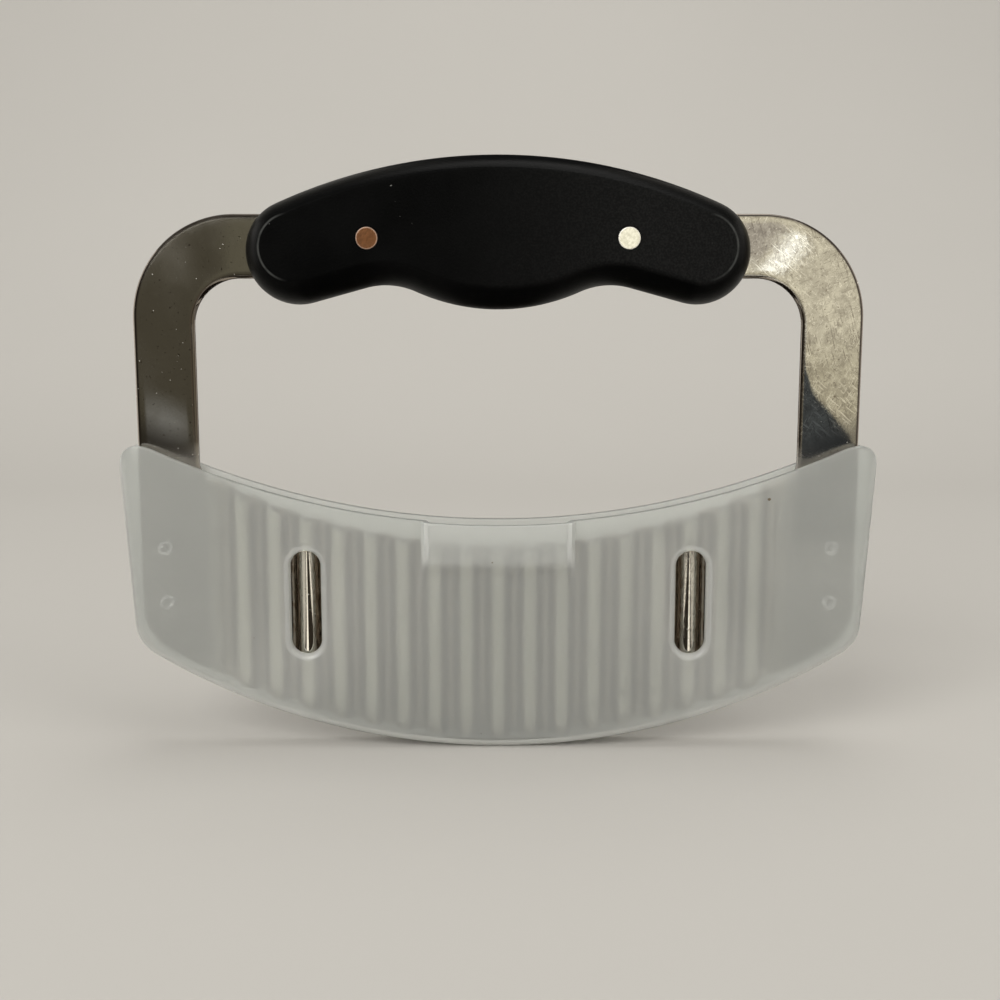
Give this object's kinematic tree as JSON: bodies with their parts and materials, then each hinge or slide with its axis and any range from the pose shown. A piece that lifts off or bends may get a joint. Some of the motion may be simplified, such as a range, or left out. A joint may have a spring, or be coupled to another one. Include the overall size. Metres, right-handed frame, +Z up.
{
  "type": "crinkle cutter",
  "caption": "Hand-held crinkle cutter: a corrugated steel blade with two arms up to a riveted black handle, standing in a translucent blade guard that it lifts out of.",
  "frame": {"origin": "lowest point of the blade guard, below the middle of the cutting edge, where a stand carries the cutter", "axes": "+X along the cutting edge, +Y through the blade to the rear, +Z up from the edge to the handle"},
  "size_m": [0.1632, 0.019, 0.1283],
  "materials": {
    "blade_steel": "polished stainless sheet, scuffed by use",
    "rivet_steel": "ground flush with the handle",
    "black_plastic": "satin moulded black",
    "milky_plastic": "natural translucent polypropylene"
  },
  "bodies": {
    "guard": {"blade_guard": "milky_plastic"},
    "cutter": {"crinkle_blade": "blade_steel", "front_handle_scale": "black_plastic", "rear_handle_scale": "black_plastic", "left_rivet_socket": "rivet_steel", "left_rivet_pin": "rivet_steel", "right_rivet_socket": "rivet_steel", "right_rivet_pin": "rivet_steel"}
  },
  "joints": [
    {"name": "cutter_lift", "type": "slide", "parent": "guard", "child": "cutter", "axis": [0, 0, 1], "range_m": [0, 0.07]}
  ]
}
